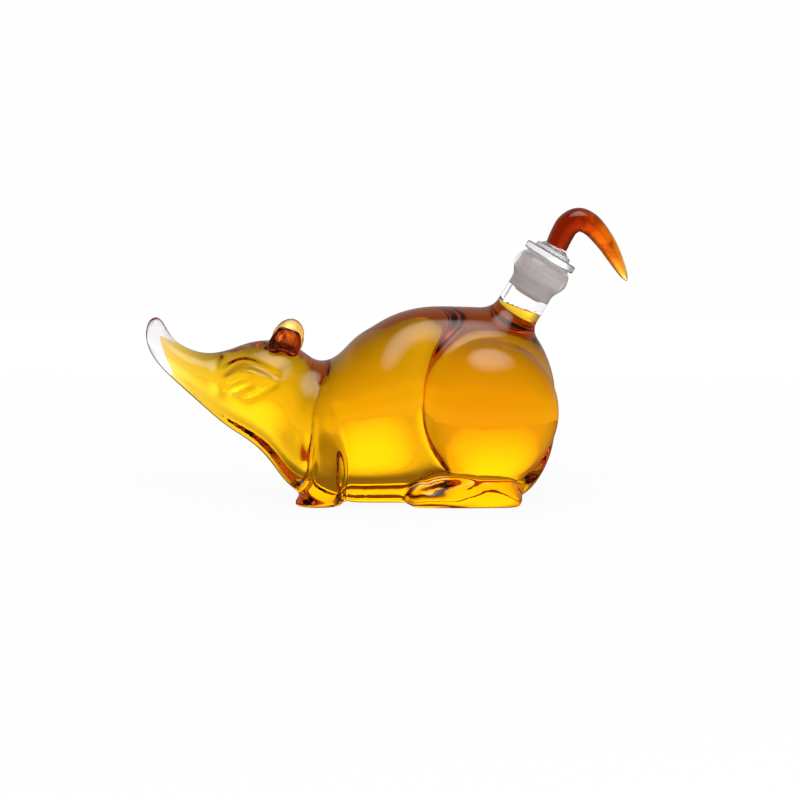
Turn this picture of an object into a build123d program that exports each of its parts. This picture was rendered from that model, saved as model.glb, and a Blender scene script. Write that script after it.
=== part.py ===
"""A figural liquor decanter: a rat of blown clear glass, filled through its tail end.

The body stands on its four feet with the snout towards -X, its left side towards -Y and
the neck leaning back over the rump, towards +X. A stopper closes the neck, and its handle is the rat's tail. The
origin is on the floor, under the middle of the whole length.
"""
import os
from math import copysign, cos, pi, radians, sin

from build123d import *

# The whole figure, in millimetres
body_length = 217.3
body_height = 102.4
trunk_width = 71.0
body_width = 87.0
tail_overhang = 38.1
wall = 2.6
overrun = 2.0

# The trunk: rings from the snout to the rump, each as top x, top z, bottom x, bottom z and
# half width, in shares of the body's length, the body's height and half the trunk's width
trunk_shares = (
    (0.0395, 0.942, 0.0105, 0.935, 0.105),
    (0.050, 0.904, 0.002, 0.885, 0.14),
    (0.060, 0.865, 0.002, 0.836, 0.17),
    (0.077, 0.820, 0.012, 0.768, 0.21),
    (0.109, 0.781, 0.037, 0.693, 0.25),
    (0.151, 0.760, 0.082, 0.602, 0.31),
    (0.200, 0.776, 0.137, 0.500, 0.41),
    (0.254, 0.815, 0.200, 0.391, 0.53),
    (0.312, 0.826, 0.259, 0.310, 0.62),
    (0.368, 0.792, 0.305, 0.214, 0.66),
    (0.415, 0.724, 0.343, 0.109, 0.70),
    (0.461, 0.740, 0.393, 0.036, 0.80),
    (0.513, 0.844, 0.468, 0.010, 0.92),
    (0.548, 0.892, 0.515, 0.008, 0.97),
    (0.582, 0.935, 0.561, 0.008, 1.00),
    (0.668, 0.995, 0.663, 0.008, 1.00),
    (0.766, 1.000, 0.771, 0.008, 0.97),
    (0.863, 0.979, 0.863, 0.014, 0.91),
    (0.917, 0.922, 0.917, 0.045, 0.80),
    (0.959, 0.818, 0.959, 0.135, 0.62),
    (0.985, 0.695, 0.985, 0.245, 0.42),
    (0.996, 0.585, 0.996, 0.350, 0.22),
)
ring_steps = 4
belly_fullness = 0.6
snout_ovals = 4
rump_shares = (1.0, 0.46)
tip_shares = (0.024, 0.952)
hollow_tip_shares = (0.044, 0.797)

# The haunches: a flattened ball on each side of the rump
haunch_shares = (0.825, 0.480)
haunch_radius = 38.0
haunch_bulge = 21.0

# The front legs: rings from inside the shoulder down to the floor, each as height, forward
# offset, half length, half width and distance from the middle plane, in shares of the leg's
# height, half the foot's length, the same, half the foot's width and the legs' spread
leg_height = 60.5
leg_spread = 25.0
leg_place_share = 0.423
front_foot_length = 27.0
front_foot_width = 18.0
leg_shares = (
    (0.95, 0.33, 0.42, 0.42, 0.60),
    (0.72, 0.42, 0.66, 0.78, 0.84),
    (0.48, 0.45, 0.68, 0.86, 0.97),
    (0.28, 0.41, 0.65, 0.84, 1.00),
    (0.15, 0.25, 0.73, 0.88, 1.00),
    (0.07, 0.06, 0.92, 0.96, 1.00),
    (0.00, 0.00, 1.00, 1.00, 1.00),
)

# The hind feet: rings from the toe to the heel, each as distance, top and half width,
# in shares of the foot's length, height and half width
hind_foot_length = 60.0
hind_foot_height = 18.5
hind_foot_width = 20.0
hind_foot_spread = 27.5
hind_foot_sink = 2.0
toe_share = 0.638
hind_foot_shares = (
    (0.04, 0.42, 0.52),
    (0.16, 0.62, 0.84),
    (0.38, 0.78, 1.00),
    (0.62, 1.00, 0.98),
    (0.82, 0.92, 0.86),
    (0.95, 0.60, 0.56),
)
foot_end_share = 0.24

# The neck: a tube on the axis that leans back from the top of the rump
neck_shares = (0.9045, 0.981)
neck_lean = 31.0
neck_length = 29.7
neck_radius = 11.9
neck_wall = 2.6
flare_radius = 9.0
flare_turn = 57.0
flare_root = 18.0
collar_radius = 15.3
collar_height = 13.2
lip_width = 3.8
mouth_bevel = 0.8

# The liquor: it fills the hollow up to the foot of the neck
liquor_film = 0.15
tip_draw = 3
liquor_slope = 18.4
liquor_rise = 1.6
liquor_reach = 8.0

# The stopper's sleeve: a ribbed silicone plug with a washer that sits on the lip
sleeve_depth = 20.7
sleeve_radius = 7.4
sleeve_end_radius = 6.7
sleeve_taper = 1.5
sleeve_floor = 1.5
washer_thickness = 1.2
washer_radius = 12.4
rib_count = 4
first_rib = 3.4
rib_pitch = 4.6
rib_height = 2.4
rib_edge = 0.7
rib_clearance = 0.05

# The stopper's cap: a stem in the sleeve, a disc with a rounded rim, a step and a boss
stem_radius = 5.2
stem_clearance = 0.05
stem_gap = 0.5
disc_radius = 14.45
disc_thickness = 4.0
disc_round = 1.7
step_radius = 9.85
step_height = 2.1
step_round = 0.7
boss_radius = 8.3
boss_height = 2.0

# The tail: round sections along a curve, each as x and z from the tail's root in shares of
# its reach, and radius in shares of its thickest radius
tail_radius = 6.3
tail_shares = (
    (0.000, 0.000, 0.93),
    (0.075, 0.165, 0.97),
    (0.160, 0.300, 1.00),
    (0.295, 0.372, 1.00),
    (0.432, 0.331, 0.95),
    (0.550, 0.230, 0.88),
    (0.693, 0.047, 0.77),
    (0.785, -0.105, 0.66),
    (0.870, -0.260, 0.50),
    (0.935, -0.385, 0.33),
)
tail_tip_shares = (0.972, -0.460)

# The ears: a cupped lobe on each side of the head
ear_shares = (0.3415, 0.812)
ear_spread = 13.5
ear_width = 17.5
ear_height = 25.0
ear_thickness = 7.0
ear_lean = 20.0
ear_splay = 14.0
cup_width_share = 0.62
cup_height_share = 0.62
cup_depth_share = 0.55

snout_x = -(body_length + tail_overhang) / 2
tail_end_x = -snout_x
bore_radius = neck_radius - neck_wall
sleeve_base = neck_length - sleeve_depth
disc_base = neck_length + washer_thickness
step_base = disc_base + disc_thickness
boss_base = step_base + step_height
tail_base = boss_base + boss_height
sides = {"left": -1, "right": 1}
across = Vector(0, 1, 0)


def on_body(x_share, z_share):
    """A point of the middle plane, given in shares of the body's length and height."""
    return Vector(snout_x + x_share * body_length, 0, z_share * body_height)


def half_ring(side, middle, up, half_width, half_height, fullness=2):
    """Half of an oval, from its top round one side to its bottom. It may be fuller lower down."""
    outward = across * side
    points = [middle + up * half_height]
    for step in range(1, ring_steps):
        turn = pi * step / ring_steps
        power = 2 / fullness if cos(turn) < 0 else 1
        rise = copysign(abs(cos(turn)) ** power, cos(turn))
        points.append(middle + outward * (half_width * sin(turn) ** power) + up * (half_height * rise))
    points.append(middle - up * half_height)
    steps = [step / ring_steps for step in range(ring_steps + 1)]
    return Edge.make_spline(points, tangents=[outward, -outward], parameters=steps)


def skin(ovals, first, last):
    """A solid through ovals, as two halves that meet smoothly. It starts at a point or flat."""
    faces = []
    ends = []
    for side in sides.values():
        halves = [half_ring(side, *oval) for oval in ovals]
        start = [Vertex(*first)] if first else []
        faces += Shell.make_loft([*start, *[Wire([half]) for half in halves], Vertex(*last)]).faces()
        ends.append(halves[0])
    if not first:
        faces.append(Face(Wire(ends)))
    return Solid(Shell(faces))


def ball(half_x, half_y, half_z):
    """An ellipsoid about the origin."""
    return scale(Sphere(1), by=(half_x, half_y, half_z))


def standing(form, inset):
    """The part of a form that lies above the floor, or above the inside of a foot's sole."""
    room = Box(2 * body_length, body_width, body_height, align=(Align.CENTER, Align.CENTER, Align.MIN))
    return form & (Pos(0, 0, inset) * room)


def trunk(inset):
    """Snout, head, chest, belly and rump. The hollow stops short of the solid snout tip."""
    middle_x = snout_x + body_length / 2
    squeeze = 1 - 2 * inset / body_length
    ovals = []
    for top_x, top_z, bottom_x, bottom_z, width in trunk_shares[snout_ovals if inset else 0:]:
        top = on_body(top_x, top_z)
        bottom = on_body(bottom_x, bottom_z)
        middle = (top + bottom) / 2
        middle.X = middle_x + (middle.X - middle_x) * squeeze
        half_height = (top - bottom).length / 2 - inset
        half_width = width * trunk_width / 2 - inset
        ovals.append((middle, (top - bottom).normalized(), half_width, half_height, 2 + belly_fullness * width))
    tip = on_body(*(hollow_tip_shares if inset else tip_shares))
    tip += (ovals[0][0] - tip).normalized() * (tip_draw * max(inset - wall, 0))
    return skin(ovals, tip, on_body(*rump_shares) - Vector(inset, 0, 0))


def haunch(side, inset):
    """A flattened ball that swells out of the rump."""
    middle = on_body(*haunch_shares) + across * (side * (body_width / 2 - haunch_bulge))
    return Pos(*middle) * ball(haunch_radius - inset, haunch_bulge - inset, haunch_radius - inset)


def front_leg(side, inset):
    """A leg that runs down from inside the shoulder and spreads into a flat foot."""
    foot = on_body(leg_place_share, inset / body_height)
    half_length = front_foot_length / 2
    ovals = []
    for height, forward, length, width, spread in leg_shares:
        rise = height * (leg_height - 2 * inset)
        middle = foot + Vector(forward * half_length, side * spread * leg_spread, rise)
        oval = Ellipse(length * half_length - inset, width * front_foot_width / 2 - inset)
        ovals.append(Pos(*middle) * oval)
    return loft(ovals)


def hind_foot(side, inset):
    """A long foot that lies under the haunch, cut flat where it stands."""
    toe = on_body(toe_share, 0) + across * (side * hind_foot_spread)
    ovals = []
    for distance, height, width in hind_foot_shares:
        half_height = height * (hind_foot_height + hind_foot_sink) / 2
        rise = height * (hind_foot_height - hind_foot_sink) / 2
        middle = toe + Vector(inset + distance * (hind_foot_length - 2 * inset), 0, rise)
        half_width = width * hind_foot_width / 2 - inset
        ovals.append((middle, Vector(0, 0, 1), half_width, half_height - inset))
    end = Vector(inset, 0, foot_end_share * hind_foot_height)
    heel = Vector(hind_foot_length - inset, 0, end.Z)
    return standing(skin(ovals, toe + end, toe + heel), inset)


def neck_place(height):
    """The plane across the neck at a height along its axis."""
    lean = radians(neck_lean)
    axis = Vector(sin(lean), 0, cos(lean))
    return Plane(origin=on_body(*neck_shares) + axis * height, x_dir=across, z_dir=axis)


def turned(outline):
    """Turns a half outline, drawn as radius and height, round the neck's axis."""
    start = outline[0] @ 0
    end = outline[-1] @ 1
    closing = Polyline(end, (0, end.Y), (0, start.Y), start)
    face = make_face([*outline, closing])
    return neck_place(0) * revolve(Plane.XZ * face, Axis.Z)


def neck_root(inset, extra=0):
    """The flared foot of the neck, which grows out of the rump."""
    radius = neck_radius - inset
    reach = flare_radius + inset
    turn = radians(flare_turn)
    middle = neck_radius + flare_radius
    half = (middle - reach * cos(turn / 2), -reach * sin(turn / 2))
    low = (middle - reach * cos(turn), -reach * sin(turn))
    outline = [Line((low[0], inset - flare_root), low), ThreePointArc(low, half, (radius, 0))]
    if extra:
        outline.append(Line((radius, 0), (radius, extra)))
    return turned(outline)


def figure(inset, extra=0):
    """The whole blown figure, drawn in by an inset, with the neck's root drawn up by an extra."""
    whole = Part() + trunk(inset) + neck_root(inset, extra)
    for side in sides.values():
        for form in (haunch, front_leg, hind_foot):
            whole += form(side, inset)
    return whole


def liquor():
    """What the hollow holds, up to a surface at the foot of the neck."""
    slope = radians(liquor_slope)
    surface = neck_place(liquor_rise)
    surface = Plane(origin=surface.origin, x_dir=across, z_dir=Vector(sin(slope), 0, cos(slope)))
    above = Box(body_width, body_width, body_width, align=(Align.CENTER, Align.CENTER, Align.MIN))
    return figure(wall + liquor_film, liquor_reach) - surface * above


def neck_tube():
    """The tube welded to the flare, with a rolled collar round its mouth."""
    mouth = (bore_radius + lip_width, neck_length)
    collar = (collar_radius, neck_length - collar_height / 2)
    foot = (neck_radius, neck_length - collar_height)
    tube = turned([Line((neck_radius, 0), foot), ThreePointArc(foot, collar, mouth)])
    bevel = (bore_radius, neck_length - mouth_bevel)
    bore = turned([Line((bore_radius, -overrun), bevel),
                   Line(bevel, (bore_radius + mouth_bevel + overrun, neck_length + overrun))])
    return tube - bore


def seal_sleeve():
    """The silicone plug: a blind sleeve with ribs that seal the bore, and a washer on the lip."""
    rib_radius = bore_radius - rib_clearance
    points = [(sleeve_end_radius, sleeve_base), (sleeve_radius, sleeve_base + sleeve_taper)]
    for count in range(rib_count):
        middle = sleeve_base + first_rib + count * rib_pitch
        points += [(sleeve_radius, middle - rib_height / 2), (rib_radius, middle - rib_edge / 2),
                   (rib_radius, middle + rib_edge / 2), (sleeve_radius, middle + rib_height / 2)]
    points += [(sleeve_radius, neck_length), (washer_radius, neck_length), (washer_radius, disc_base)]
    hole_radius = stem_radius + stem_clearance
    hole = turned([Line((hole_radius, sleeve_base + sleeve_floor), (hole_radius, disc_base + overrun))])
    return turned([Polyline(*points)]) - hole


def rounded_disc(radius, low, high, roundness):
    """A disc with its rim rounded above and below."""
    return turned([CenterArc((radius - roundness, low + roundness), roundness, -90, 90),
                   Line((radius, low + roundness), (radius, high - roundness)),
                   CenterArc((radius - roundness, high - roundness), roundness, 0, 90)])


def stopper_cap():
    """The clear cap: its stem fills the sleeve, and its disc lies on the washer."""
    stem_base = sleeve_base + sleeve_floor + stem_gap
    stem = turned([Line((stem_radius, stem_base), (stem_radius, disc_base + overrun))])
    disc = rounded_disc(disc_radius, disc_base, step_base, disc_round)
    step = turned([Line((step_radius, disc_base + overrun), (step_radius, boss_base - step_round)),
                   CenterArc((step_radius - step_round, boss_base - step_round), step_round, 0, 90)])
    root_radius = tail_shares[0][-1] * tail_radius
    boss = turned([Line((boss_radius, step_base), (boss_radius, boss_base)),
                   Line((boss_radius, boss_base), (root_radius, tail_base))])
    return stem + disc + step + boss


def tail():
    """The handle: a rod of amber glass that rises, bends over and tapers to its tip."""
    root = neck_place(tail_base)
    reach = tail_end_x - root.origin.X
    points = [root.origin + Vector(x, 0, z) * reach for x, z, _ in tail_shares]
    tip = root.origin + Vector(tail_tip_shares[0], 0, tail_tip_shares[1]) * reach
    ways = [root.z_dir] + [(after - before).normalized()
                           for before, after in zip(points, [*points[2:], tip])]
    ovals = []
    for point, way, (_, _, share) in zip(points, ways, tail_shares):
        ovals.append((point, across.cross(way), share * tail_radius, share * tail_radius))
    return skin(ovals, None, tip)


def ear(side, body):
    """A lobe of amber glass, cupped on its outer face and melted onto the head."""
    lobe = ball(ear_width / 2, ear_thickness / 2, ear_height / 2)
    cup = ball(cup_width_share * ear_width / 2, cup_depth_share * ear_thickness,
               cup_height_share * ear_height / 2)
    lobe -= Pos(0, side * ear_thickness / 2, (1 - cup_height_share) * ear_height / 4) * cup
    place = Pos(*(on_body(*ear_shares) + across * (side * ear_spread)))
    return place * Rot(-side * ear_splay, ear_lean, 0) * lobe - body


figure_body = figure(0)
nodes = {
    "glass_body": figure_body - figure(wall, overrun),
    "neck_tube": neck_tube(),
    "liquor": liquor(),
    "seal_sleeve": seal_sleeve(),
    "stopper_cap": stopper_cap(),
    "tail": tail(),
}
for name, side in sides.items():
    nodes["ear_" + name] = ear(side, figure_body)

os.makedirs("parts", exist_ok=True)
for name, node in nodes.items():
    export_step(node, "parts/" + name + ".step")
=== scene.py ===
from math import cos, pi, radians, sin

import bpy
import numpy as np
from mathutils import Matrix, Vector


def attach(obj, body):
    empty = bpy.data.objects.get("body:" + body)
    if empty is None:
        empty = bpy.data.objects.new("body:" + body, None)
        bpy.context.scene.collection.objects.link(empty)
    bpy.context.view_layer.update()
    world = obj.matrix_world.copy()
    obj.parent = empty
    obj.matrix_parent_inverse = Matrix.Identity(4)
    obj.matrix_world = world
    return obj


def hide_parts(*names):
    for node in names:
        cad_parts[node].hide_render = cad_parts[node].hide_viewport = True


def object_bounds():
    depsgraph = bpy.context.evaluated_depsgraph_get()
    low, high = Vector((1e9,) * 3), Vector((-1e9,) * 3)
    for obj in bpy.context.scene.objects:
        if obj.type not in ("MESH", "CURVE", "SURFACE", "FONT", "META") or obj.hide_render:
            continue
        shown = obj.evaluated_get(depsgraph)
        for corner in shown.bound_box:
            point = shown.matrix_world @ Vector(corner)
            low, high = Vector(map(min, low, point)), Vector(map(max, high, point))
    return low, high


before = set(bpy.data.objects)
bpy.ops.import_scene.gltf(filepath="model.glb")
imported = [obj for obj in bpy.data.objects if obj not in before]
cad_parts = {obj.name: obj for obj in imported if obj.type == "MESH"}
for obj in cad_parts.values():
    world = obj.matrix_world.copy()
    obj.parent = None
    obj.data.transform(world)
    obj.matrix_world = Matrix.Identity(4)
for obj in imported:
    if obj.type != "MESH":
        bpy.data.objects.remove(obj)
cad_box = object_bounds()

import openvdb
from mathutils import Vector

mm = 0.001

# The studio
# The decanter stands on a wide white table that runs up into a white backdrop. The view is
# from its left side, from a little above, as wide as the picture needs.
picture_width = 424 * mm
picture_middle = Vector((6.9, 0, 52.8)) * mm
camera_distance = 1.1
camera_height_angle = radians(7)

camera_data = bpy.data.cameras.new("camera")
camera_data.lens = camera_data.sensor_width * camera_distance / picture_width
camera = bpy.data.objects.new("camera", camera_data)
bpy.context.scene.collection.objects.link(camera)
bpy.context.scene.camera = camera
camera.location = picture_middle + camera_distance * Vector(
    (0, -cos(camera_height_angle), sin(camera_height_angle)))
camera.rotation_euler = (pi / 2 - camera_height_angle, 0, 0)
bpy.context.scene.view_settings.view_transform = "Standard"


class Shade:
    """An output of a shader node. Sums, differences and products of it add Math nodes."""

    def __init__(self, tree, output=None):
        self.tree = tree
        self.output = output

    def node(self, kind, settings=None, sockets=None, output=0):
        """Adds a node: its settings come first, then the values or links of its sockets."""
        made = self.tree.nodes.new("ShaderNode" + kind)
        for name, value in (settings or {}).items():
            if name == "stops":
                ramp = made.color_ramp
                while len(ramp.elements) < len(value):
                    ramp.elements.new(0.5)
                for element, (place, colour) in zip(ramp.elements, value):
                    element.position = place
                    element.color = colour
            else:
                setattr(made, name, value)
        for name, value in (sockets or {}).items():
            if isinstance(value, Shade):
                self.tree.links.new(value.output, made.inputs[name])
            else:
                made.inputs[name].default_value = value
        return Shade(self.tree, made.outputs[output] if made.outputs else None)

    def math(self, operation, *values):
        return self.node("Math", {"operation": operation}, dict(enumerate(values)))

    def __add__(self, other):
        return self.math("ADD", self, other)

    def __sub__(self, other):
        return self.math("SUBTRACT", self, other)

    def __rsub__(self, other):
        return self.math("SUBTRACT", other, self)

    def __mul__(self, other):
        return self.math("MULTIPLY", self, other)

    __radd__ = __add__
    __rmul__ = __mul__


def shader_tree(owner):
    """Empties the shader nodes of a material or world, and starts them anew."""
    owner.use_nodes = True
    owner.node_tree.nodes.clear()
    return Shade(owner.node_tree)


def seen_through(shade):
    """1 for what the camera sees, straight or through glass or in a reflection, else 0."""
    camera_ray, glossy, transmitted = (
        shade.node("LightPath", output=name)
        for name in ("Is Camera Ray", "Is Glossy Ray", "Is Transmission Ray"))
    return shade.math("MAXIMUM", camera_ray, shade.math("MAXIMUM", glossy, transmitted))


def seen_mirrored(shade):
    """1 for what is seen in a reflection. A ray that went through glass counts as glossy too."""
    glossy = shade.node("LightPath", output="Is Glossy Ray")
    return glossy * (1 - shade.node("LightPath", output="Is Transmission Ray"))


def grey(brightness):
    """A grey, as a colour."""
    return brightness, brightness, brightness, 1


def by_value(value, stops):
    """The colour that a value picks from a row of stops."""
    return value.node("ValToRGB", {"stops": stops}, {0: value})


def mixed(share, first, second):
    """The first colour where the share is 0, and the second where it is 1."""
    return share.node("MixRGB", sockets={0: share, 1: first, 2: second})


def likeness(way, aim):
    """How near a way is to the one aimed at: 1 where both are the same."""
    return way.node("VectorMath", {"operation": "DOT_PRODUCT"}, {0: way, 1: aim}, "Value")


# The table is white to the eye, and the lamps add a little shadow. Through glass it carries painted
# shade: it is darker close to the decanter, by the distance in metres, and that gives the glass its
# grey rims.
table_reach = 6.0
table_grey = 0.8
table_white_share = 0.93
table_to_the_eye = [(0.4, grey(1)), (1.0, grey(1.026))]
table_shade_through_glass = [
    (0.08, (0.27, 0.25, 0.24, 1)), (0.17, (0.72, 0.71, 0.70, 1)), (0.28, grey(1)), (0.70, grey(1.1))]
table_mirrored = (0.05, 0.045, 0.04, 1)

table = bpy.data.materials.new("white_table")
shade = shader_tree(table)
from_decanter = shade.node("VectorMath", {"operation": "LENGTH"},
                           {0: shade.node("TexCoord", output="Object")}, "Value")
colour = mixed(seen_mirrored(shade), by_value(from_decanter, table_shade_through_glass), table_mirrored)
colour = mixed(shade.node("LightPath", output="Is Camera Ray"), colour,
               by_value(from_decanter, table_to_the_eye))
lit = shade.node("BsdfDiffuse", sockets={"Color": grey(table_grey)})
white = shade.node("Emission", sockets={"Color": colour, "Strength": 1})
shade.node("OutputMaterial", sockets={"Surface": shade.node("MixShader", sockets={
    0: seen_through(shade) * table_white_share, 1: lit, 2: white})})
table_mesh = bpy.data.meshes.new("table")
table_mesh.from_pydata([(-table_reach, -table_reach, 0), (table_reach, -table_reach, 0),
                        (table_reach, table_reach, 0), (-table_reach, table_reach, 0)],
                       [], [(0, 1, 2, 3)])
table_mesh.materials.append(table)
table_top = bpy.data.objects.new("table_top", table_mesh)
bpy.context.scene.collection.objects.link(table_top)

# The room is white to the eye too. Through glass it is white ahead and behind, grey to the sides
# and above, and glows where the backdrop is lit. A mirrored room is dark but for a soft window.
room_light = 0.6
backdrop_white = 0.985
room_through_glass = [(0.48, (0.26, 0.24, 0.23, 1)), (0.78, (0.56, 0.55, 0.54, 1)), (0.94, grey(1))]
side_gain = 1.12
side_loss = 0.2
glow_way = Vector((0, 0.93, 0.37)).normalized()
glow_stops = [(0.90, grey(0)), (1.0, grey(1))]
glow_white = grey(2.3)
room_mirrored = [(0.5, grey(0.03)), (0.8, grey(0.35))]
window_way = Vector((0.05, -0.38, 0.92)).normalized()
window_stops = [(0.86, grey(0)), (0.97, grey(1))]
window_white = (4.0, 3.9, 3.8, 1)

world = bpy.data.worlds.new("studio")
bpy.context.scene.world = world
shade = shader_tree(world)
way = shade.node("TexCoord", output="Generated")
ahead = shade.node("SeparateXYZ", sockets={0: way}, output="Y")
aside = shade.node("SeparateXYZ", sockets={0: way}, output="X")
openness = shade.math("MAXIMUM", shade.math("ABSOLUTE", ahead),
                      side_gain * shade.math("ABSOLUTE", aside) - side_loss)
either_way = shade.node("VectorMath", {"operation": "ABSOLUTE"}, {0: way})
in_glass = mixed(by_value(likeness(either_way, glow_way), glow_stops),
                 by_value(openness, room_through_glass), glow_white)
on_glass = mixed(by_value(likeness(way, window_way), window_stops),
                 by_value(0.5 * ahead + 0.5, room_mirrored), window_white)
colour = mixed(seen_mirrored(shade), in_glass, on_glass)
colour = mixed(shade.node("LightPath", output="Is Diffuse Ray"), colour, grey(room_light))
colour = mixed(shade.node("LightPath", output="Is Camera Ray"), colour, grey(backdrop_white))
shade.node("OutputWorld", sockets={"Surface": shade.node("Background", sockets={
    "Color": colour, "Strength": 1})})


def softbox(name, place, size, power):
    """A soft rectangular lamp, turned to the decanter, that lights it without being seen in it."""
    lamp = bpy.data.lights.new(name, "AREA")
    lamp.shape = "RECTANGLE"
    lamp.size, lamp.size_y = size
    lamp.energy = power
    made = bpy.data.objects.new(name, lamp)
    made.location = place
    made.rotation_euler = (picture_middle - Vector(place)).to_track_quat("-Z", "Y").to_euler()
    made.visible_glossy = False
    made.visible_transmission = False
    made.visible_camera = False
    bpy.context.scene.collection.objects.link(made)


softbox("key", place=(-0.05, -0.62, 0.95), size=(0.75, 0.35), power=4)
softbox("fill", place=(0.9, -0.7, 0.5), size=(0.6, 0.6), power=2.5)
softbox("backlight", place=(0.05, 1.0, 0.42), size=(0.75, 0.5), power=2.1)

# The blown figure
# The rat's body is one bubble of clear borosilicate glass, blown and drawn while hot, so its
# parts run into each other in soft folds. The neck is welded on where the air went in.
glass_wall = 1.3
glass_bend = 1.47

# The glass is shaped on a grid of points, all in millimetres. The grid runs past the object by a
# margin, and distances are known up to a reach. A seam closes hair gaps between the nodes.
voxel = 0.8
margin = 4.0
reach = 7.0
seam = 0.2
softness = 1.7
smoothing_turns = 6

low, high = (np.array(corner) / mm for corner in cad_box)
first = np.floor((low - margin) / voxel).astype(int)
counts = np.ceil((high + margin) / voxel).astype(int) - first + 1
grid_place = openvdb.createLinearTransform(voxelSize=voxel)
X, Y, Z = np.ogrid[tuple(slice(0, n) for n in counts)]
X, Y, Z = ((axis + start) * voxel for axis, start in zip((X, Y, Z), first))


def distances(points, faces):
    """How far each grid point lies from a closed mesh, in millimetres, and below 0 inside."""
    kind = "triangles" if faces.shape[1] == 3 else "quads"
    level_set = openvdb.FloatGrid.createLevelSetFromPolygons(
        points.astype(np.float32), **{kind: faces.astype(np.uint32)},
        transform=grid_place, halfWidth=reach / voxel)
    field = np.empty(counts, np.float32)
    level_set.copyToArray(field, ijk=tuple(int(n) for n in first))
    return field


def node_distances(name):
    """How far each grid point lies from a CAD node."""
    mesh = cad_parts[name].data
    mesh.calc_loop_triangles()
    points = np.empty(3 * len(mesh.vertices), np.float32)
    mesh.vertices.foreach_get("co", points)
    corners = np.empty(3 * len(mesh.loop_triangles), np.int32)
    mesh.loop_triangles.foreach_get("vertices", corners)
    return distances(points.reshape(-1, 3) / mm, corners.reshape(-1, 3))


def surface(field, level=0.0):
    """The closed mesh of quads where a field passes a level."""
    grid = openvdb.FloatGrid(reach)
    grid.copyFromArray(np.ascontiguousarray(field, np.float32), ijk=tuple(int(n) for n in first))
    grid.transform = grid_place
    return grid.convertToQuads(isovalue=level)


def blurred(field, width):
    """A field with its creases softened over a width in millimetres."""
    spread = int(3 * width / voxel)
    weights = np.exp(-0.5 * (np.arange(-spread, spread + 1) * voxel / width) ** 2)
    weights /= weights.sum()
    for axis in range(3):
        padded = np.pad(field, [(spread, spread) if n == axis else (0, 0) for n in range(3)], "edge")
        field = sum(weight * np.take(padded, range(n, n + field.shape[axis]), axis)
                    for n, weight in enumerate(weights)).astype(np.float32)
    return field


def ramp(value, start, end):
    """Rises smoothly from 0 at the start to 1 at the end."""
    share = np.clip((value - start) / (end - start), 0, 1)
    return share * share * (3 - 2 * share)


neck_lean = radians(31)
neck_foot = (68.85, 100.45)
neck_length = 29.7
neck_radius = 11.9
bore_radius = 9.3
collar_height = 13.2
collar_radius = 15.3
collar_fullness = 0.8
lip_radius = 13.1
neck_reach = 20
bore_overrun = 4

along = (X - neck_foot[0]) * sin(neck_lean) + (Z - neck_foot[1]) * cos(neck_lean)
across = (X - neck_foot[0]) * cos(neck_lean) - (Z - neck_foot[1]) * sin(neck_lean)
from_axis = np.sqrt(across ** 2 + Y ** 2)
near_neck = from_axis < neck_reach

collar_turn = np.clip((along - neck_length + collar_height) / collar_height, 0, 1)
collar = neck_radius + (lip_radius - neck_radius) * collar_turn
swell = np.sin(pi * collar_turn) ** collar_fullness
collar += (collar_radius - (neck_radius + lip_radius) / 2) * swell
tube = np.maximum(np.maximum(from_axis - collar, along - neck_length), -along)
stopped_bore = np.maximum(from_axis - bore_radius - seam,
                          np.maximum(along - neck_length, -bore_overrun - along))

filled = np.minimum(node_distances("glass_body"), node_distances("liquor"))
filled = np.minimum(filled, node_distances("neck_tube"))
filled = np.minimum(filled, stopped_bore)
skin = distances(*surface(filled, seam)) + seam
skin = blurred(skin, softness)


def stroke(points, width):
    """How strongly a line drawn on the body's side is felt: 1 on it, fading over a width."""
    nearest = np.full(np.broadcast_shapes(X.shape, Z.shape), np.inf, np.float32)
    for (x0, z0), (x1, z1) in zip(points, points[1:]):
        length = (x1 - x0) ** 2 + (z1 - z0) ** 2
        share = np.clip(((X - x0) * (x1 - x0) + (Z - z0) * (z1 - z0)) / length, 0, 1)
        nearest = np.minimum(nearest, (X - x0 - share * (x1 - x0)) ** 2
                             + (Z - z0 - share * (z1 - z0)) ** 2)
    return np.exp(-nearest / width ** 2)


# Each line pressed into the glass with a tool: its points as x and z on the body's side, its
# width and its depth. A depth below 0 is a ridge.
brow = [(-85, 68.6), (-81.6, 71.6), (-78, 73.6), (-74.2, 74.4), (-70, 73.6), (-66, 71.9),
        (-57.2, 67.6)]
under_brow = [(-82, 66.6), (-77, 69.4), (-70, 69.8), (-62.5, 67.2)]
upper_lid = [(-82, 62.8), (-78, 65.0), (-73.5, 65.6)]
eye_slit = [(-77.6, 59.4), (-74, 61.6), (-70.5, 63.1)]
lower_lid = [(-79.5, 58.9), (-73, 55.2), (-66.8, 58.1), (-58.3, 63.2)]
eye_roll = [(-76, 62.8), (-71.5, 65.0), (-67, 64.6)]
snout_ring = [(-89.8, 79.4), (-88.6, 69.0), (-87.5, 59.5)]
leg_front = [(-34.5, 62.0), (-38.6, 48.0), (-38.7, 23.8), (-42.9, 13.1)]
leg_back = [(-25.4, 51.4), (-21.7, 34.3), (-20.9, 19.4), (-21.9, 3.4)]
toe_fold = [(18.0, 13.5), (24.4, 8.6), (36.0, 7.4), (46.4, 11.4)]
toe_roll = [(19.0, 11.0), (29.7, 13.0), (42.5, 13.4)]
pressed_lines = [
    (brow, 2.0, 1.4), (under_brow, 2.0, -1.0), (upper_lid, 1.6, 1.4), (eye_slit, 1.7, 2.2),
    (lower_lid, 1.7, 1.6), (eye_roll, 1.8, -0.6), (snout_ring, 3.2, 0.9),
    (leg_front, 2.4, 1.2), (leg_back, 3.0, 1.1), (toe_fold, 2.6, 0.8), (toe_roll, 3.0, -0.5)]
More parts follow.
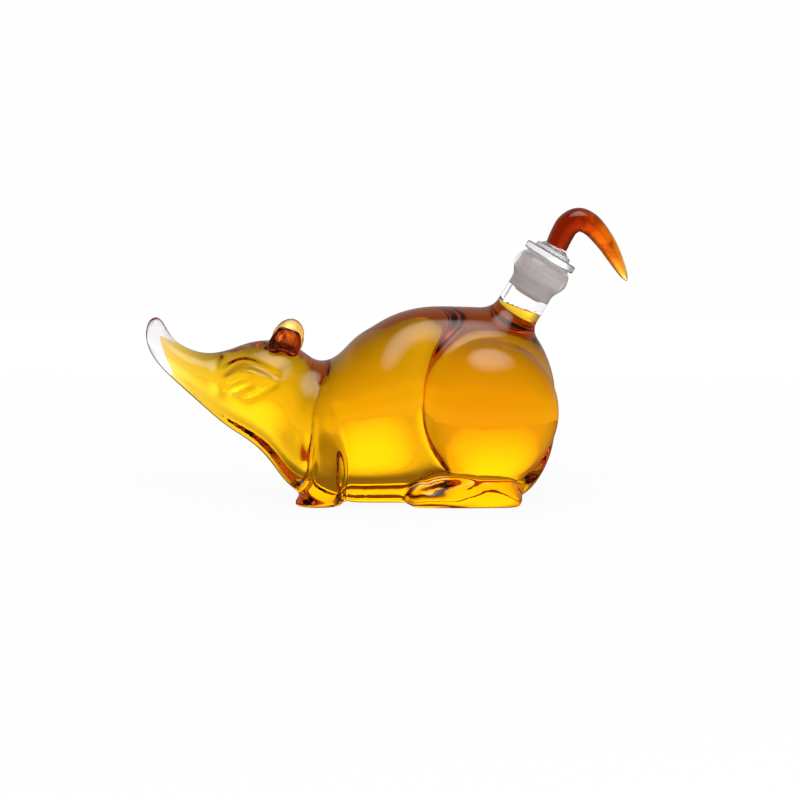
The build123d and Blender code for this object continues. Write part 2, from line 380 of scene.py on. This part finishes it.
# How far out from the middle plane the lines start and are full on each side, and the share of
# their depth that the far side has
near_side = (6, 11)
far_side = (12, 17)
far_side_share = 0.4
relief = sum(depth * stroke(points, width) for points, width, depth in pressed_lines)
relief = relief * np.where(Y > 0, far_side_share * ramp(Y, *far_side), ramp(-Y, *near_side))

# The haunch swells out of the flank: its round shoulder drops to a crease in front of it, and
# the flank rises slowly from there. The crease fades out between two turns, in degrees up from
# level, at its foot and at its top, and towards the middle plane.
haunch_middle = (54.0, 56.0)
haunch_radius = 37.0
upper_stretch = 0.82
crease_depth = 4.2
shoulder_width = 9.5
crease_rounding = 1.8
flank_width = 13.0
foot_fade = (-80, -50)
top_fade = (70, 20)
side_fade = (16, 30)
out_x = X - haunch_middle[0]
out_z = (Z - haunch_middle[1]) * np.where(Z > haunch_middle[1], upper_stretch, 1)
from_haunch = np.sqrt(out_x ** 2 + out_z ** 2) - haunch_radius
rounded_off = crease_rounding - np.sqrt(from_haunch ** 2 + crease_rounding ** 2)
shoulder = np.exp(rounded_off / shoulder_width)
crease = np.where(from_haunch > 0, np.exp(-(from_haunch / flank_width) ** 2), shoulder)
haunch_turn = np.degrees(np.arctan2(out_z, -out_x))
crease = crease * ramp(haunch_turn, *foot_fade) * ramp(haunch_turn, *top_fade)
relief = relief + crease_depth * crease * ramp(np.abs(Y), *side_fade)

# The snout was drawn out to a solid tip, so its wall grows thicker towards the front
tip_wall = 2.9
tip_wall_fade = (-104, -122)
inner_tip = (-118.8, 83.0)
tip_slant = 0.44
bore_blend = (-1.5, 2.5)
outside = np.minimum(skin + relief, tube)
outside = np.maximum(outside, -Z)
snout_wall = tip_wall * ramp(X, *tip_wall_fade)
hollow = skin + glass_wall + snout_wall + relief
hollow = np.maximum(hollow, inner_tip[0] - X + tip_slant * (inner_tip[1] - Z))
bore = from_axis - bore_radius
in_bore = ramp(along, *bore_blend) * near_neck
hollow = hollow * (1 - in_bore) + bore * in_bore


def smoothed(points, quads, turns):
    """Evens out the points of a mesh: each moves halfway to the middle of its neighbours."""
    starts = quads.ravel()
    ends = np.roll(quads, -1, 1).ravel()
    uses = np.bincount(starts, minlength=len(points)) + np.bincount(ends, minlength=len(points))
    for _ in range(turns):
        total = [np.bincount(starts, points[ends, n], len(points))
                 + np.bincount(ends, points[starts, n], len(points)) for n in range(3)]
        points = (points + np.stack(total, 1) / uses[:, None]) / 2
    return points


def link_mesh(name, points, faces, material):
    """A smooth object from points in millimetres, with its faces turned outwards."""
    points = np.asarray(points, float) * mm
    mesh = bpy.data.meshes.new(name)
    mesh.from_pydata(points.tolist(), [], [list(map(int, face)) for face in faces])
    mesh.calc_loop_triangles()
    corners = np.array([list(t.vertices) for t in mesh.loop_triangles])
    a, b, c = points[corners[:, 0]], points[corners[:, 1]], points[corners[:, 2]]
    if np.einsum("ij,ij->", a, np.cross(b, c)) < 0:
        mesh.flip_normals()
    mesh.shade_smooth()
    mesh.materials.append(material)
    made = bpy.data.objects.new(name, mesh)
    bpy.context.scene.collection.objects.link(made)
    return made


def grid_spots(points, quads):
    """The grid point nearest to the middle of each face."""
    spots = np.rint(points[quads].mean(1) / voxel).astype(int) - first
    return [tuple(spot) for spot in np.clip(spots, 0, counts - 1).tolist()]


def ripples(shade, size, depth, distance):
    """A normal that waves a little, as on glass shaped by hand."""
    place = shade.node("TexCoord", output="Object")
    noise = shade.node("TexNoise", sockets={"Vector": place, "Scale": 1 / size, "Detail": 2})
    return shade.node("Bump", sockets={"Height": noise, "Strength": depth, "Distance": distance})


glass_roughness = 0.03
smear_roughness = 0.05
smears_per_metre = 60
clear_glass = bpy.data.materials.new("clear_glass")
shade = shader_tree(clear_glass)
place = shade.node("TexCoord", output="Object")
smears = shade.node("TexNoise", sockets={"Vector": place, "Scale": smears_per_metre, "Detail": 3})
waves = ripples(shade, size=14 * mm, depth=0.25, distance=0.4 * mm)
shade.node("OutputMaterial", sockets={"Surface": shade.node("BsdfPrincipled", sockets={
    "Base Color": grey(1), "Roughness": glass_roughness + smear_roughness * smears,
    "IOR": glass_bend, "Transmission Weight": 1, "Normal": waves})})

# Where the liquor wets the glass, light passes from one to the other almost unbent
wetted_glass = bpy.data.materials.new("wetted_glass")
shade = shader_tree(wetted_glass)
shade.node("OutputMaterial", sockets={"Surface": shade.node("BsdfPrincipled", sockets={
    "Base Color": grey(1), "Roughness": 0, "IOR": 1, "Transmission Weight": 1, "Alpha": 0})})

# The liquor's surface, which climbs a little where it meets the wall
surface_lean = radians(18.4)
surface_rise = 1.6
meniscus = 1.2
surface_x = neck_foot[0] + surface_rise * sin(neck_lean)
surface_z = neck_foot[1] + surface_rise * cos(neck_lean)
level = (X - surface_x) * sin(surface_lean) + (Z - surface_z) * cos(surface_lean)
level = level - meniscus * np.exp(np.minimum(hollow, 0) / meniscus)

points, quads = surface(np.maximum(outside, -hollow))
points_smoothed = smoothed(points, quads, smoothing_turns)
blown_glass = link_mesh("blown_glass", points_smoothed, quads, clear_glass)
blown_glass.data.materials.append(wetted_glass)
wetted = [-hollow[spot] > outside[spot] and level[spot] < 0 for spot in grid_spots(points, quads)]
blown_glass.data.polygons.foreach_set("material_index", np.array(wetted, np.int32))
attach(blown_glass, "root")
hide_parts("glass_body", "neck_tube")

# The liquor
# A golden spirit fills the hollow up to the foot of the neck. It wets the glass, so it has no
# gap to it, and its surface climbs a little where it meets the wall.
wetting = 0.25
spirit_tint = (1, 0.73, 0.42, 1)
spirit_keeps = (0.990, 0.926, 0.0, 1)
spirit_density = 125
spirit_bends = {"at_wall": 1, "open": 1.36}

spirits = {}
for face, bend in spirit_bends.items():
    spirits[face] = bpy.data.materials.new("amber_spirit_" + face)
    shade = shader_tree(spirits[face])
    shade.node("OutputMaterial", sockets={
        "Surface": shade.node("BsdfPrincipled", sockets={
            "Base Color": spirit_tint, "Roughness": 0, "IOR": bend, "Transmission Weight": 1}),
        "Volume": shade.node("VolumeAbsorption", sockets={
            "Color": spirit_keeps, "Density": spirit_density})})

points, quads = surface(np.maximum(hollow - wetting, level))
points_smoothed = smoothed(points, quads, smoothing_turns)
fill = link_mesh("liquor_fill", points_smoothed, quads, spirits["at_wall"])
fill.data.materials.append(spirits["open"])
open_surface = [level[spot] > hollow[spot] - wetting for spot in grid_spots(points, quads)]
fill.data.polygons.foreach_set("material_index", np.array(open_surface, np.int32))
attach(fill, "root")
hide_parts("liquor")

# The ears
# Each ear is a gather of amber glass, pinched into a cupped lobe and melted onto the head
# while both were hot. The pinching leaves streaks that run up the lobe.
streak_edges = (0.42, 0.60)
streak_roughness = 0.05


def amber_glass(name, tint, dark_tint, keeps, density, streaks_per_metre, paler=(0, 1, 0)):
    """Amber glass with darker streaks. It grows paler by a gain from one place along X to another."""
    made = bpy.data.materials.new(name)
    shade = shader_tree(made)
    place = shade.node("TexCoord", output="Object")
    drawn_out = shade.node("Mapping", sockets={"Vector": place, "Scale": streaks_per_metre})
    streaks = shade.node("TexNoise", sockets={"Vector": drawn_out, "Scale": 1, "Detail": 3})
    start, end, gain = paler
    forward = shade.node("MapRange", sockets={
        0: shade.node("SeparateXYZ", sockets={0: place}, output="X"), 1: start, 2: end})
    stops = list(zip(streak_edges, (dark_tint, tint)))
    colour = by_value(streaks + gain * (forward - 0.5), stops)
    waves = ripples(shade, size=5 * mm, depth=0.3, distance=0.3 * mm)
    shade.node("OutputMaterial", sockets={
        "Surface": shade.node("BsdfPrincipled", sockets={
            "Base Color": colour, "Roughness": streak_roughness * streaks, "IOR": glass_bend,
            "Transmission Weight": 1, "Normal": waves}),
        "Volume": shade.node("VolumeAbsorption", sockets={"Color": keeps, "Density": density})})
    return made


# The tint of each ear, that of its streaks, the light that the glass keeps, and its strength. The
# left ear is darker, and it was nipped off shorter and slanted at its front.
ear_glasses = {"left": ((1.0, 0.60, 0.30, 1), (0.34, 0.10, 0.05, 1), (0.87, 0.42, 0.05, 1), 420),
               "right": ((1.0, 0.90, 0.58, 1), (0.92, 0.66, 0.30, 1), (0.97, 0.76, 0.05, 1), 340)}
ear_streaks = (420, 420, 60)
ear_softness = 0.5
ear_fullness = 0.1
ear_smoothing_turns = 3
left_ear_front = (-65.6, 80.2)
front_slope = radians(54)
left_ear_top = (-52, 92.6)
top_slope = 0.35
nipped_softness = 0.8
for side, (tint, dark_tint, keeps, density) in ear_glasses.items():
    glass = amber_glass("ear_glass_" + side, tint, dark_tint, keeps, density, ear_streaks)
    lobe = blurred(node_distances("ear_" + side), ear_softness) - ear_fullness
    if side == "left":
        front = ((Z - left_ear_front[1]) * cos(front_slope)
                 - (X - left_ear_front[0]) * sin(front_slope))
        top = Z - left_ear_top[1] + top_slope * (X - left_ear_top[0])
        lobe = blurred(np.maximum(lobe, np.maximum(front, top)), nipped_softness)
    points, quads = surface(lobe)
    points_smoothed = smoothed(points, quads, ear_smoothing_turns)
    ear = link_mesh("ear_lobe_" + side, points_smoothed, quads, glass)
    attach(ear, "root")
    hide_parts("ear_" + side)

# The seal
# The plug is a sleeve of milky silicone with four ribs that grip the neck's bore, and a
# washer that lies between the lip and the cap.
sleeve_base = 9.0
sleeve_radius = 9.4
sleeve_end_radius = 6.7
sleeve_end_height = 1.5
sleeve_rounding = 0.35
rib_radius = 9.9
rib_height = 3.6
rib_flat = rib_height / 5
rib_middles = [12.4, 17.0, 21.6, 26.2]
washer_radius = 12.4
washer_top = 30.9
hole_radius = 5.25
hole_floor = 10.5
longest_cut = 0.45
sides_round = 96


def on_neck(radius, height, turn):
    """A point in millimetres, given round the neck's axis."""
    out = radius * cos(turn)
    x = neck_foot[0] + height * sin(neck_lean) + out * cos(neck_lean)
    z = neck_foot[1] + height * cos(neck_lean) - out * sin(neck_lean)
    return x, radius * sin(turn), z


def turned(name, outline, material):
    """A solid turned round the neck's axis: its outline runs from the axis back to the axis."""
    points = [on_neck(0, outline[0][1], 0)]
    faces = []
    for radius, height in outline[1:-1]:
        points += [on_neck(radius, height, 2 * pi * n / sides_round) for n in range(sides_round)]
    points.append(on_neck(0, outline[-1][1], 0))
    rings = len(outline) - 2
    for n in range(sides_round):
        after = (n + 1) % sides_round
        faces.append((0, 1 + after, 1 + n))
        for ring in range(rings - 1):
            start = 1 + ring * sides_round
            faces.append((start + n, start + after, start + sides_round + after,
                          start + sides_round + n))
        start = 1 + (rings - 1) * sides_round
        faces.append((start + n, start + after, len(points) - 1))
    return link_mesh(name, points, faces, material)


def rounded(corners, roundness, steps=5):
    """An outline with every corner between its ends rounded off, over less than half of a side."""
    outline = [corners[0]]
    for before, corner, after in zip(corners, corners[1:], corners[2:]):
        corner = Vector(corner)
        ways = [Vector(end) - corner for end in (before, after)]
        cut = min(roundness, *(longest_cut * way.length for way in ways))
        start, end = (corner + way.normalized() * cut for way in ways)
        for step in range(steps + 1):
            t = step / steps
            outline.append(tuple((1 - t) ** 2 * start + 2 * t * (1 - t) * corner + t * t * end))
    outline.append(corners[-1])
    return outline


milk_tints = [(0.3, (0.92, 0.82, 0.80, 1)), (0.7, (0.98, 0.91, 0.89, 1))]
clouds_per_metre = 180
silicone_roughness = 0.28
cloud_roughness = 0.12
silicone_bend = 1.41
silicone_clearness = 0.1
silicone = bpy.data.materials.new("milky_silicone")
shade = shader_tree(silicone)
place = shade.node("TexCoord", output="Object")
clouds = shade.node("TexNoise", sockets={"Vector": place, "Scale": clouds_per_metre, "Detail": 3})
pores = ripples(shade, size=1.5 * mm, depth=0.2, distance=0.1 * mm)
shade.node("OutputMaterial", sockets={"Surface": shade.node("BsdfPrincipled", sockets={
    "Base Color": by_value(clouds, milk_tints),
    "Roughness": silicone_roughness + cloud_roughness * clouds, "IOR": silicone_bend,
    "Transmission Weight": silicone_clearness, "Normal": pores})})

corners = [(0, sleeve_base), (sleeve_end_radius, sleeve_base),
           (sleeve_radius, sleeve_base + sleeve_end_height)]
for middle in rib_middles:
    corners += [(sleeve_radius, middle - rib_height / 2), (rib_radius, middle - rib_flat),
                (rib_radius, middle + rib_flat), (sleeve_radius, middle + rib_height / 2)]
corners += [(sleeve_radius, neck_length), (washer_radius, neck_length), (washer_radius, washer_top),
            (hole_radius, washer_top), (hole_radius, hole_floor), (0, hole_floor)]
sleeve = turned("ribbed_sleeve", rounded(corners, sleeve_rounding), silicone)
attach(sleeve, "seal")
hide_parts("seal_sleeve")

# The cap
# A disc of clear glass covers the mouth. Its stem is pushed into the silicone sleeve, and the
# tail is welded to the low boss on its top.
stem_radius = 5.2
stem_base = 11.0
disc_radius = 14.45
disc_top = 34.9
step_radius = 9.85
step_top = 37.0
boss_radius = 8.3
cap_rounding = 1.2
weld_width = 0.6
weld_height = 0.4
tail_base = 39.0
tail_radius = 6.3
root_share = 0.93

cap_tint = (0.84, 0.83, 0.84, 1)
haze_per_metre = 220
haze_roughness = 0.09
cap_glass = bpy.data.materials.new("cap_glass")
shade = shader_tree(cap_glass)
place = shade.node("TexCoord", output="Object")
haze = shade.node("TexNoise", sockets={"Vector": place, "Scale": haze_per_metre, "Detail": 4})
waves = ripples(shade, size=4 * mm, depth=0.2, distance=0.2 * mm)
shade.node("OutputMaterial", sockets={"Surface": shade.node("BsdfPrincipled", sockets={
    "Base Color": cap_tint, "Roughness": glass_roughness + haze_roughness * haze,
    "IOR": glass_bend, "Transmission Weight": 1, "Normal": waves})})

corners = [(0, stem_base), (stem_radius, stem_base), (stem_radius, washer_top),
           (disc_radius, washer_top), (disc_radius, disc_top), (step_radius, disc_top),
           (step_radius, step_top), (boss_radius, step_top),
           (root_share * tail_radius + weld_width, tail_base - weld_height),
           (root_share * tail_radius, tail_base), (0, tail_base)]
cap = turned("stopper_disc", rounded(corners, cap_rounding), cap_glass)
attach(cap, "stopper")
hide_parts("stopper_cap")

# The tail
# The handle is a rod of amber glass, bent over in the flame and drawn out to a point. It is
# darkest near its root, where it is thickest.
tail_reach = 38.1
# Each place along the tail: how far past its root and above it, as shares of its reach, and its
# radius there as a share of the full one
tail_shares = [
    (0.000, 0.000, 0.93), (0.075, 0.165, 0.97), (0.160, 0.300, 1.00), (0.295, 0.372, 1.00),
    (0.432, 0.331, 0.95), (0.550, 0.230, 0.88), (0.693, 0.047, 0.77), (0.785, -0.105, 0.66),
    (0.870, -0.260, 0.50), (0.935, -0.385, 0.33), (0.972, -0.460, 0.10)]
tail_steps = 8
tail_sides = 40

root_x, _, root_z = on_neck(0, tail_base, 0)
rows = [(root_x + x * tail_reach, root_z + z * tail_reach, share * tail_radius)
        for x, z, share in tail_shares]
rows = np.array([2 * np.array(rows[0]) - rows[1], *rows, 2 * np.array(rows[-1]) - rows[-2]])
path = []
for n in range(1, len(rows) - 2):
    for step in range(tail_steps):
        t = step / tail_steps
        a, b, c, d = rows[n - 1:n + 3]
        path.append(0.5 * (2 * b + (c - a) * t + (2 * a - 5 * b + 4 * c - d) * t ** 2
                           + (3 * b - a - 3 * c + d) * t ** 3))
path.append(rows[-2])
path = np.array(path)
ways = np.gradient(path[:, :2], axis=0)
ways /= np.linalg.norm(ways, axis=1)[:, None]
points = [(path[0][0], 0, path[0][1])]
for (x, z, radius), (way_x, way_z) in zip(path, ways):
    for n in range(tail_sides):
        turn = 2 * pi * n / tail_sides
        points.append((x - way_z * radius * cos(turn), radius * sin(turn),
                       z + way_x * radius * cos(turn)))
tip_x, tip_z = path[-1][:2] + ways[-1] * path[-1][2]
points.append((tip_x, 0, tip_z))
faces = []
for n in range(tail_sides):
    after = (n + 1) % tail_sides
    faces.append((0, 1 + after, 1 + n))
    for ring in range(len(path) - 1):
        start = 1 + ring * tail_sides
        faces.append((start + n, start + after, start + tail_sides + after, start + tail_sides + n))
    start = 1 + (len(path) - 1) * tail_sides
    faces.append((start + n, start + after, len(points) - 1))
tail_tint = (1.0, 0.93, 0.80, 1)
tail_dark_tint = (0.30, 0.12, 0.06, 1)
tail_keeps = (0.95, 0.68, 0.0, 1)
tail_density = 620
tail_streaks = (90, 260, 90)
tail_paling = 0.5
tail_glass = amber_glass("tail_glass", tail_tint, tail_dark_tint, tail_keeps, tail_density,
                         tail_streaks, (root_x * mm, (root_x + tail_reach) * mm, tail_paling))
tail = link_mesh("tail_handle", points, faces, tail_glass)
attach(tail, "stopper")
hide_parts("tail")
